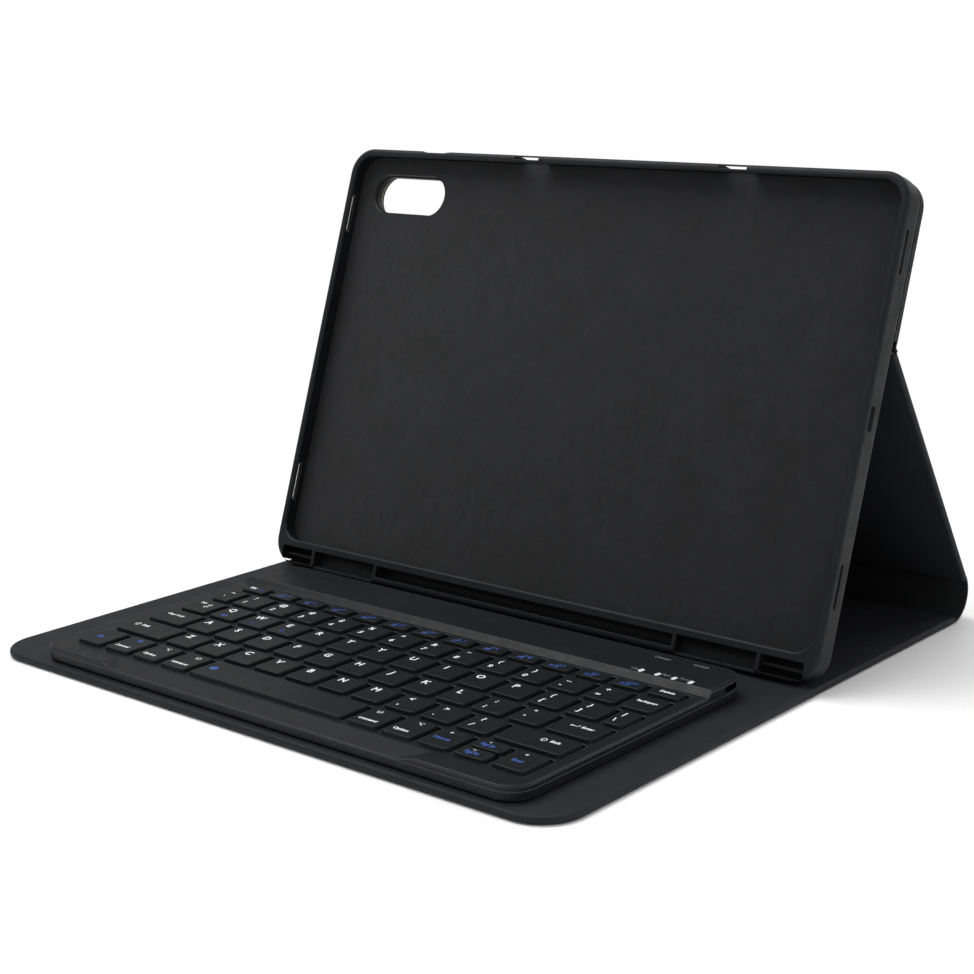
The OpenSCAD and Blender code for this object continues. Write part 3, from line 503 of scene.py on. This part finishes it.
# The keyboard's housing as the CAD has it, with its left end and its rear bar moved to where the
# photograph shows them. Each bend in "along" is (place in the frame, where it goes), and the places
# between two bends are spread evenly
housingLook = {
    "endFrom": -0.1082, "endShift": 0.0057,
    "along": [(-0.2, -0.2), (-0.03125, -0.02955), (-0.02625, -0.02705), (-0.00555, -0.00305),
              (0, 0.0025)],
    "upFrom": 0.00905, "upTo": 0.0122, "barTop": 0.0112, "barFront": -0.0313,
    "nodes": {"keyboard_case": "shellPlastic", "keyboard_deck": "shellPlastic", "case_screws": "darkSteel",
              "circuit_board": "boardLaminate", "power_switch": "switchPlastic"},
}


def bentPlace(bends, value):
    for (a, toA), (b, toB) in zip(bends, bends[1:]):
        if value <= b:
            return toA + (toB - toA) * (value - a) / (b - a)
    return value


def makeHousing(look):
    barShare = (look["barTop"] - look["upFrom"]) / (look["upTo"] - look["upFrom"])
    for node, finish in look["nodes"].items():
        mesh = frame["nodes"][node].data.copy()
        mesh.transform(frame["nodes"][node].matrix_world)
        for vertex in mesh.vertices:
            x, y, z = vertex.co
            if node in ("keyboard_case", "keyboard_deck"):
                if y > look["barFront"] and z > look["upFrom"]:
                    z = look["upFrom"] + (z - look["upFrom"]) * barShare
                y = bentPlace(look["along"], y)
            vertex.co = (x + look["endShift"] if x < look["endFrom"] else x, y, z)
        newPiece(camelName(node) + "Fitted", mesh, finish, nodeBody(node), node, 30)
    return len(look["nodes"])


# Keycaps, one shape for each node and a row of it where the node holds several
capLook = {
    "draft": 0.0005, "corner": 0.0016, "edge": 0.00042, "dish": 0.00016, "wall": 0.0011,
    "roof": 0.0011, "stem": 0.002, "stemFoot": 0.0072, "stemInto": 0.0002, "stemSteps": 16,
    "innerCorner": 0.0006, "footSoft": 0.00012, "waist": 0.6, "edgeSteps": 5, "edgeOver": 0.00005,
    "dishRings": (0.18, 0.4, 0.65, 0.88),
    # a cap's width with its skirt, in the rows that hold several
    "letterWidth": 0.0145, "functionWidth": 0.0141071,
}


# A rounded tapered cap, hollow below, from the corner of its foot
def capShape(shape, left, front, width, depth, foot, top, look):
    cx, cy = left + width / 2, front + depth / 2
    draft, edge = look["draft"], look["edge"]
    tall = top - foot
    rings = []

    def ring(inset, z, radius):
        rings.append([Vector((x, y, z)) for x, y in
                      roundedLoop(cx, cy, width - 2 * inset, depth - 2 * inset, radius)])

    ring(look["wall"], top - look["roof"], look["innerCorner"])
    ring(look["wall"], foot, look["innerCorner"])
    ring(look["footSoft"], foot, look["corner"])
    ring(0, foot + look["footSoft"], look["corner"])
    ring(draft * look["waist"], foot + look["waist"] * tall, look["corner"])
    for i in range(look["edgeSteps"] + 1):
        a = math.radians(90 * i / look["edgeSteps"])
        ring(draft - look["edgeOver"] + edge * (1 - math.cos(a)), top - edge * (1 - math.sin(a)),
             look["corner"] * 0.9 - edge * 0.5 * (1 - math.cos(a)))
    reach = min(width, depth) / 2 - draft - edge
    for share in look["dishRings"]:
        sink = look["dish"] * (1 - (1 - share) ** 2)
        ring(draft + edge + reach * share, top - sink, look["corner"] * (1 - share * 0.7))
    skinRings(shape, rings)
    stem = []
    for z in (look["stemFoot"], top - look["roof"] + look["stemInto"]):
        turns = [2 * math.pi * i / look["stemSteps"] for i in range(look["stemSteps"])]
        stem.append([Vector((cx + look["stem"] * math.cos(a), cy + look["stem"] * math.sin(a), z))
                     for a in turns])
    skinRings(shape, stem)


# Repeats one keycap along its row
def keyRowTree():
    tree = bpy.data.node_groups.new("keyRow", "GeometryNodeTree")
    sockets = {}
    for name, kind in (("Cap", "NodeSocketGeometry"), ("Count", "NodeSocketInt"),
                       ("Pitch", "NodeSocketFloat"), ("Finish", "NodeSocketMaterial")):
        sockets[name] = tree.interface.new_socket(name, in_out="INPUT", socket_type=kind).identifier
    tree.interface.new_socket("Row", in_out="OUTPUT", socket_type="NodeSocketGeometry")
    given = tree.nodes.new("NodeGroupInput")
    made = tree.nodes.new("NodeGroupOutput")
    offset = tree.nodes.new("ShaderNodeCombineXYZ")
    line = tree.nodes.new("GeometryNodeMeshLine")
    copies = tree.nodes.new("GeometryNodeInstanceOnPoints")
    real = tree.nodes.new("GeometryNodeRealizeInstances")
    paint = tree.nodes.new("GeometryNodeSetMaterial")
    wire(tree, given.outputs["Count"], line.inputs["Count"])
    wire(tree, given.outputs["Pitch"], offset.inputs["X"])
    wire(tree, offset.outputs["Vector"], line.inputs["Offset"])
    wire(tree, line.outputs["Mesh"], copies.inputs["Points"])
    wire(tree, given.outputs["Cap"], copies.inputs["Instance"])
    wire(tree, copies.outputs["Instances"], real.inputs["Geometry"])
    wire(tree, real.outputs["Geometry"], paint.inputs["Geometry"])
    wire(tree, given.outputs["Finish"], paint.inputs["Material"])
    wire(tree, paint.outputs["Geometry"], made.inputs["Row"])
    return tree, sockets


rowTree, rowSockets = keyRowTree()

# How many caps each node holds
keyGroups = {
    "escape_key": 1, "function_keys": 12, "delete_key": 1, "accent_key": 1, "number_keys": 12,
    "backspace_key": 1, "tab_key": 1, "upper_letter_keys": 12, "backslash_key": 1,
    "caps_lock_key": 1, "middle_letter_keys": 11, "enter_key": 1, "left_shift_key": 1,
    "lower_letter_keys": 10, "right_shift_key": 1, "fn_key": 1, "left_control_key": 1,
    "left_option_key": 1, "left_command_key": 1, "space_bar": 1, "right_command_key": 1,
    "right_option_key": 1, "home_key": 1, "page_up_key": 1, "page_down_key": 1, "end_key": 1,
}
capTops = {}  # for each node, the middle, width, depth and height of each cap's top


def makeKeys(look):
    for node, count in keyGroups.items():
        low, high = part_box(node)
        depth = high.y - low.y
        rowWidth = high.x - low.x
        if count > 1:
            keyWidth = look["functionWidth" if node == "function_keys" else "letterWidth"]
            pitch = (rowWidth - keyWidth) / (count - 1)
        else:
            keyWidth, pitch = rowWidth, 0
        shape = bmesh.new()
        capShape(shape, low.x, low.y, keyWidth, depth, low.z, high.z, look)
        name = camelName(node) + "Caps"
        piece = newPiece(name, meshFrom(name, shape), "keyPlastic", None, None, 40)
        if count > 1:
            maker = piece.modifiers.new("row", "NODES")
            maker.node_group = rowTree
            maker[rowSockets["Count"]] = count
            maker[rowSockets["Pitch"]] = pitch
            maker[rowSockets["Finish"]] = finishes["keyPlastic"]
            settle(piece)
        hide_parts(node)
        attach(piece, nodeBody(node))
        capTops[node] = [(low.x + i * pitch + keyWidth / 2, (low.y + high.y) / 2,
                          keyWidth - 2 * look["draft"], depth - 2 * look["draft"], high.z)
                         for i in range(count)]


print("housing pieces fitted:", makeHousing(housingLook))
makeKeys(capLook)
print("keycaps made:", sum(keyGroups.values()))


# Legends, as thin flat forms on the caps
printLook = {
    "lift": 0.00001, "thick": 0.00003, "sink": 0.0001, "stroke": 0.00044, "bold": 0.03, "fill": 0.88,
    "letter": 0.0046, "word": 0.0024, "pair": 0.0038, "number": 0.0029, "diskSteps": 24,
}


# A word as a thin form, made narrower where it is wider than its room
def wordShape(text, size, x, y, z, look, room=1):
    curve = bpy.data.curves.new("word", "FONT")
    curve.body = text
    curve.size = size
    curve.align_x = "CENTER"
    curve.align_y = "CENTER"
    curve.resolution_u = 3
    curve.extrude = look["thick"] / 2
    curve.offset = size * look["bold"]
    holder = bpy.data.objects.new("word", curve)
    bpy.context.scene.collection.objects.link(holder)
    bpy.context.view_layer.update()
    mesh = bpy.data.meshes.new_from_object(holder.evaluated_get(bpy.context.evaluated_depsgraph_get()))
    width = holder.dimensions.x
    bpy.data.objects.remove(holder)
    fit = min(1, room / width)
    mesh.transform(Matrix.Translation((x, y, z + look["lift"])) @ Matrix.Diagonal((fit, fit, 1, 1)))
    return mesh


def circleLine(x, y, r, steps=12, start=0, sweep=360):
    return [(x + r * math.cos(math.radians(start + sweep * i / steps)),
             y + r * math.sin(math.radians(start + sweep * i / steps))) for i in range(steps + 1)]


def boxLine(left, low, right, high):
    return [(left, low), (right, low), (right, high), (left, high), (left, low)]


speakerLine = [(-0.9, 0.3), (-0.5, 0.3), (0, 0.8), (0, -0.8), (-0.5, -0.3), (-0.9, -0.3), (-0.9, 0.3)]

# Line drawings in a square of side 2: each is a list of lines, and a line is a list of points
signs = {
    "home": [[(-1, 0), (0, 0.9), (1, 0)], [(-0.7, 0), (-0.7, -0.8), (0.7, -0.8), (0.7, 0)]],
    "search": [circleLine(-0.2, 0.2, 0.6), [(0.25, -0.25), (0.9, -0.9)]],
    "dim": [circleLine(0, 0, 0.4), [(-1, 0), (-0.75, 0)], [(1, 0), (0.75, 0)], [(0, 1), (0, 0.75)],
            [(0, -1), (0, -0.75)]],
    "bright": [circleLine(0, 0, 0.45), [(-1.1, 0), (-0.7, 0)], [(1.1, 0), (0.7, 0)],
               [(0, 1.1), (0, 0.7)], [(0, -1.1), (0, -0.7)], [(-0.8, 0.8), (-0.5, 0.5)],
               [(0.8, 0.8), (0.5, 0.5)], [(-0.8, -0.8), (-0.5, -0.5)], [(0.8, -0.8), (0.5, -0.5)]],
    "keys": [boxLine(-1, -0.6, 1, 0.6), [(-0.6, 0.2), (0.6, 0.2)], [(-0.5, -0.25), (0.5, -0.25)]],
    "all": [boxLine(-0.8, -0.7, 0.8, 0.7), [(-0.35, 0), (0.35, 0)]],
    "copy": [boxLine(-0.8, -0.8, 0.3, 0.4), [(-0.3, 0.8), (0.8, 0.8), (0.8, -0.4)]],
    "paste": [boxLine(-0.7, -0.8, 0.7, 0.6), [(-0.3, 0.85), (0.3, 0.85)]],
    "back": [[(0.9, 0.6), (0.1, 0), (0.9, -0.6)], [(0, 0.6), (-0.8, 0), (0, -0.6)]],
    "play": [[(-0.8, 0.7), (0.1, 0), (-0.8, -0.7), (-0.8, 0.7)], [(0.45, 0.7), (0.45, -0.7)],
             [(0.85, 0.7), (0.85, -0.7)]],
    "next": [[(-0.9, 0.6), (-0.1, 0), (-0.9, -0.6)], [(0, 0.6), (0.8, 0), (0, -0.6)]],
    "quiet": [speakerLine, [(0.4, 0.3), (0.5, 0), (0.4, -0.3)]],
    "loud": [speakerLine, [(0.35, 0.35), (0.5, 0), (0.35, -0.35)], [(0.7, 0.7), (0.95, 0), (0.7, -0.7)]],
    "lock": [boxLine(-0.7, -0.8, 0.7, 0.1), circleLine(0, 0.1, 0.45, 8, 0, 180)],
    "up": [[(-0.7, 0), (0, 0.8), (0.7, 0)], [(0, 0.8), (0, -0.8)]],
    "down": [[(-0.7, 0), (0, -0.8), (0.7, 0)], [(0, 0.8), (0, -0.8)]],
    "left": [[(0, 0.7), (-0.8, 0), (0, -0.7)], [(-0.8, 0), (0.8, 0)]],
    "right": [[(0, 0.7), (0.8, 0), (0, -0.7)], [(-0.8, 0), (0.8, 0)]],
    "shift": [[(-0.9, 0), (0, 0.9), (0.9, 0), (0.4, 0), (0.4, -0.8), (-0.4, -0.8), (-0.4, 0), (-0.9, 0)]],
    "return": [[(1.2, 0.7), (1.2, -0.2), (-1, -0.2)], [(-0.5, 0.25), (-1, -0.2), (-0.5, -0.65)]],
    "square": [boxLine(-0.7, -0.7, 0.7, 0.7)],
    "ring": [circleLine(0, 0, 0.7)],
    "step": [[(-1, 0.6), (-0.3, 0.6), (0.3, -0.6), (1, -0.6)], [(0.3, 0.6), (1, 0.6)]],
}


def signShape(shape, sign, size, x, y, z, look):
    half = look["stroke"] / 2
    for line in signs[sign]:
        for (ax, ay), (bx, by) in zip(line, line[1:]):
            a = Vector((x + ax * size / 2, y + ay * size / 2, 0))
            b = Vector((x + bx * size / 2, y + by * size / 2, 0))
            way = (b - a).normalized()
            side = Vector((-way.y, way.x, 0)) * half
            a, b = a - way * half * 0.5, b + way * half * 0.5
            rings = [[Vector((p.x, p.y, level)) for p in (a - side, b - side, b + side, a + side)]
                     for level in (z - look["thick"] / 2, z + look["thick"] / 2)]
            skinRings(shape, rings)


def diskShape(shape, radius, x, y, z, look):
    turns = [2 * math.pi * i / look["diskSteps"] for i in range(look["diskSteps"])]
    skinRings(shape, [[Vector((x + radius * math.cos(a), y + radius * math.sin(a), level)) for a in turns]
                      for level in (z - look["thick"] / 2, z + look["thick"] / 2)])


# A legend is (kind, what, size, right, up, ink), where right and up are shares of half a cap's top.
# A word's size is a name in printLook, and a sign's or a disk's is in metres
def letters(text):
    return [[("word", c, "letter", -0.4, 0.42, "white")] for c in text]


def pair(main, other):
    return [("word", main, "pair", -0.45, -0.38, "white"), ("word", other, "pair", -0.38, 0.5, "white")]


def stacked(word, sign, ink="white", across=-0.15):
    return [("word", word, "word", -0.18, -0.42, "white"), ("sign", sign, 0.0026, across, 0.62, ink)]


def arrowKey(word, sign):
    return [("word", word, "number", -0.15, -0.12, "blue"), ("sign", sign, 0.0017, -0.25, 0.66, "white")]


functionSigns = ("home", "search", "dim", "bright", "all", "copy", "paste", "back", "play", "next",
                 "quiet", "loud")
keyLegends = {
    "escape_key": [[("word", "Esc", "number", -0.35, 0.1, "white"),
                    ("sign", "lock", 0.003, 0.45, 0.15, "blue")]],
    "function_keys": [[("word", "F%d" % (i + 1), "number", -0.2, -0.42, "blue"),
                       ("sign", sign, 0.0046, 0.12, 0.34, "blue")]
                      for i, sign in enumerate(functionSigns)],
    "delete_key": [[("word", "Delete", "word", 0, 0.2, "white")]],
    "accent_key": [pair("`", "~")],
    "number_keys": [pair(a, b) for a, b in zip("1234567890-=", "!@#$%^&*()_+")],
    "backspace_key": [[("word", "Backspace", "word", 0, 0.2, "white")]],
    "tab_key": [[("word", "Tab", "word", -0.5, 0.45, "white"), ("sign", "right", 0.003, 0.2, 0.3, "white"),
                 ("sign", "left", 0.003, 0.2, -0.05, "white")]],
    "upper_letter_keys": letters("QWERTYUIOP") + [pair("[", "{"), pair("]", "}")],
    "backslash_key": [pair("\\", "|")],
    "caps_lock_key": [[("word", "Caps lock", "word", -0.22, 0.24, "white")]],
    "middle_letter_keys": letters("ASDFGHJKL") + [pair(";", ":"), pair("'", '"')],
    "enter_key": [[("sign", "return", 0.003, -0.3, 0.2, "white"),
                   ("word", "Enter", "word", 0.3, 0.2, "white")]],
    "left_shift_key": [[("sign", "shift", 0.003, -0.68, 0.2, "white"),
                        ("word", "Shift", "word", -0.33, 0.2, "white")]],
    "lower_letter_keys": letters("ZXCVBNM") + [pair(",", "<"), pair(".", ">"), pair("/", "?")],
    "right_shift_key": [[("sign", "shift", 0.003, 0.12, 0.2, "white"),
                         ("word", "Shift", "word", 0.46, 0.2, "white")]],
    "fn_key": [[("word", "Fn", "pair", -0.15, -0.1, "blue")]],
    "left_control_key": [stacked("Control", "keys", "blue", 0.05)],
    "left_option_key": [stacked("Option", "step", "white", 0.05)],
    "left_command_key": [stacked("Command", "square", "white", 0.25)],
    "space_bar": [[("disk", "", 0.0019, -0.88, 0.1, "blue")]],
    "right_command_key": [stacked("Command", "square", "white", -0.3)],
    "right_option_key": [stacked("Option", "step", "white", 0.1)],
    "home_key": [arrowKey("Home", "left")], "page_up_key": [arrowKey("PgUp", "up")],
    "page_down_key": [arrowKey("PgDn", "down")], "end_key": [arrowKey("End", "right")],
}
# the blue marks on the first three keys of the upper letter row
blueMarks = (("word", "Sys", "number"), ("sign", "ring", 0.0026), ("sign", "square", 0.0026))
for place, mark in enumerate(blueMarks):
    keyLegends["upper_letter_keys"][place].append(mark + (-0.1, -0.5, "blue"))


def makeLegends(look):
    made = 0
    for node, caps in capTops.items():
        inks = {}
        for (cx, cy, width, depth, top), marks in zip(caps, keyLegends[node]):
            for kind, what, size, right, up, ink in marks:
                shape = inks.setdefault(ink, bmesh.new())
                x, y = cx + right * width / 2, cy + up * depth / 2
                z = top - look["sink"] + look["lift"]
                if kind == "word":
                    mesh = wordShape(what, look[size], x, y, z, look, look["fill"] * width)
                    shape.from_mesh(mesh)
                    bpy.data.meshes.remove(mesh)
                elif kind == "sign":
                    signShape(shape, what, size, x, y, z, look)
                else:
                    diskShape(shape, size, x, y, z, look)
                made += 1
        for ink, shape in inks.items():
            name = nodeBody(node).replace("_", "") + ink.title() + "Print"
            newPiece(name, meshFrom(name, shape), ink + "Print", nodeBody(node), None, 0)
    return made


print("legends printed:", makeLegends(printLook))

# The four status lights
lensLook = {
    "count": 4, "width": 0.0021, "length": 0.0036, "ahead": 0.0005, "top": 0.01125, "foot": 0.0090,
    "soft": 0.0002, "endSteps": 6,
}


# Long pills over the light pipes
def makeLenses(look):
    low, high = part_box("status_lights")
    pipe = high.y - low.y
    shape = bmesh.new()
    for i in range(look["count"]):
        x = low.x + pipe / 2 + i * (high.x - low.x - pipe) / (look["count"] - 1)
        y = bentPlace(housingLook["along"], (low.y + high.y) / 2) + look["ahead"]
        rings = []
        for z, inset in ((look["foot"], 0), (look["top"] - look["soft"], 0), (look["top"], look["soft"])):
            rings.append([Vector((px, py, z)) for px, py in
                          roundedLoop(x, y, look["width"] - 2 * inset, look["length"] - 2 * inset,
                                      look["width"] / 2 - inset, look["endSteps"])])
        skinRings(shape, rings)
    newPiece("lightLenses", meshFrom("lightLenses", shape), "lightLens", nodeBody("status_lights"),
             "status_lights", 40)


makeLenses(lensLook)
print("status lights made")

# Small words on the rear bar
barLook = {
    "size": 0.0025, "top": 0.0112,
    "words": [("Caps", 0.0912, -0.0243), ("Pair", 0.1040, -0.0236), ("Power", 0.1132, -0.0232),
              ("Charge", 0.0918, -0.0080), ("Switch", 0.1088, -0.0072)],
}


def makeBarWords(look):
    shape = bmesh.new()
    for text, x, y in look["words"]:
        mesh = wordShape(text, look["size"], x, y, look["top"], printLook)
        shape.from_mesh(mesh)
        bpy.data.meshes.remove(mesh)
    newPiece("barWords", meshFrom("barWords", shape), "greyPrint", nodeBody("keyboard_deck"), None, 0)


makeBarWords(barLook)
print("bar words printed:", len(barLook["words"]))

# Floor, surroundings and lamps
studioLook = {
    "floor": "#fafafa", "floorRough": 0.9, "floorGloss": 0.1, "floorReach": 6,
    "floorFoot": -0.02, "floorTop": -0.0002, "world": 0.35, "clearFrom": 0.2, "clearTo": 0.45,
    "lamps": [  # name, place, aim, size, power
        ("overheadBox", (-0.45, -0.12, 1.2), (0, 0, 0.05), 1.0, 14),
        ("frontFill", (0.3, -1.3, 0.9), (0, 0, 0.08), 1.0, 3),
        ("sideFill", (1.3, 0.3, 0.6), (0, 0.1, 0.05), 0.9, 4),
        ("rearStrip", (0.25, 1.1, 0.9), (0, 0.05, 0.1), 0.9, 5),
    ],
}


# 1 for the camera's own rays and for those of the kinds named, which see the surroundings as white
def shownRays(tree, kinds):
    path = tree.nodes.new("ShaderNodeLightPath")
    total = path.outputs["Is Camera Ray"]
    for kind in kinds:
        either = tree.nodes.new("ShaderNodeMath")
        either.operation = "MAXIMUM"
        wire(tree, total, either.inputs[0])
        wire(tree, path.outputs[kind], either.inputs[1])
        total = either.outputs["Value"]
    return total


# A pale floor that holds the shadow near the object and clears to white away from it
def floorFinish(look):
    pale = bpy.data.materials.new("paleFloor")
    pale.use_nodes = True
    tree = pale.node_tree
    nodes = tree.nodes
    shader = nodes["Principled BSDF"]
    shader.inputs["Base Color"].default_value = shade(look["floor"])
    shader.inputs["Roughness"].default_value = look["floorRough"]
    shader.inputs["Specular IOR Level"].default_value = look["floorGloss"]
    reach = nodes.new("ShaderNodeVectorMath")
    reach.operation = "LENGTH"
    wire(tree, nodes.new("ShaderNodeTexCoord").outputs["Object"], reach.inputs[0])
    fade = nodes.new("ShaderNodeMapRange")
    fade.interpolation_type = "SMOOTHSTEP"
    fade.inputs["From Min"].default_value = look["clearFrom"]
    fade.inputs["From Max"].default_value = look["clearTo"]
    wire(tree, reach.outputs["Value"], fade.inputs["Value"])
    share = nodes.new("ShaderNodeMath")
    share.operation = "MULTIPLY"
    wire(tree, fade.outputs["Result"], share.inputs[0])
    wire(tree, shownRays(tree, ("Is Glossy Ray", "Is Transmission Ray")), share.inputs[1])
    white = nodes.new("ShaderNodeEmission")
    blend = nodes.new("ShaderNodeMixShader")
    wire(tree, share.outputs["Value"], blend.inputs["Fac"])
    wire(tree, shader.outputs["BSDF"], blend.inputs[1])
    wire(tree, white.outputs["Emission"], blend.inputs[2])
    wire(tree, blend.outputs["Shader"], nodes["Material Output"].inputs["Surface"])
    return pale


def makeStudio(look):
    reach = look["floorReach"]
    shape = bmesh.new()
    corners = [(-reach, -reach), (reach, -reach), (reach, reach), (-reach, reach)]
    skinRings(shape, [[Vector((x, y, z)) for x, y in corners]
                      for z in (look["floorFoot"], look["floorTop"])])
    floor = newPiece("floor", meshFrom("floor", shape), None, None, None, 0)
    floor.data.materials.append(floorFinish(look))

    world = bpy.data.worlds.new("studio")
    bpy.context.scene.world = world
    world.use_nodes = True
    tree = world.node_tree
    sky = tree.nodes["Background"]
    sky.inputs["Color"].default_value = (1, 1, 1, 1)
    level = tree.nodes.new("ShaderNodeMapRange")
    level.inputs["To Min"].default_value = look["world"]
    level.inputs["To Max"].default_value = 1
    wire(tree, shownRays(tree, ("Is Transmission Ray",)), level.inputs["Value"])
    wire(tree, level.outputs["Result"], sky.inputs["Strength"])

    for name, place, aim, width, power in look["lamps"]:
        lampData = bpy.data.lights.new(name, "AREA")
        lampData.shape = "SQUARE"
        lampData.size = width
        lampData.energy = power
        lamp = bpy.data.objects.new(name, lampData)
        lamp.location = place
        lamp.rotation_euler = (Vector(aim) - Vector(place)).to_track_quat("-Z", "Y").to_euler()
        bpy.context.scene.collection.objects.link(lamp)
    bpy.context.scene.view_settings.view_transform = "Standard"


makeStudio(studioLook)
print("studio lit")
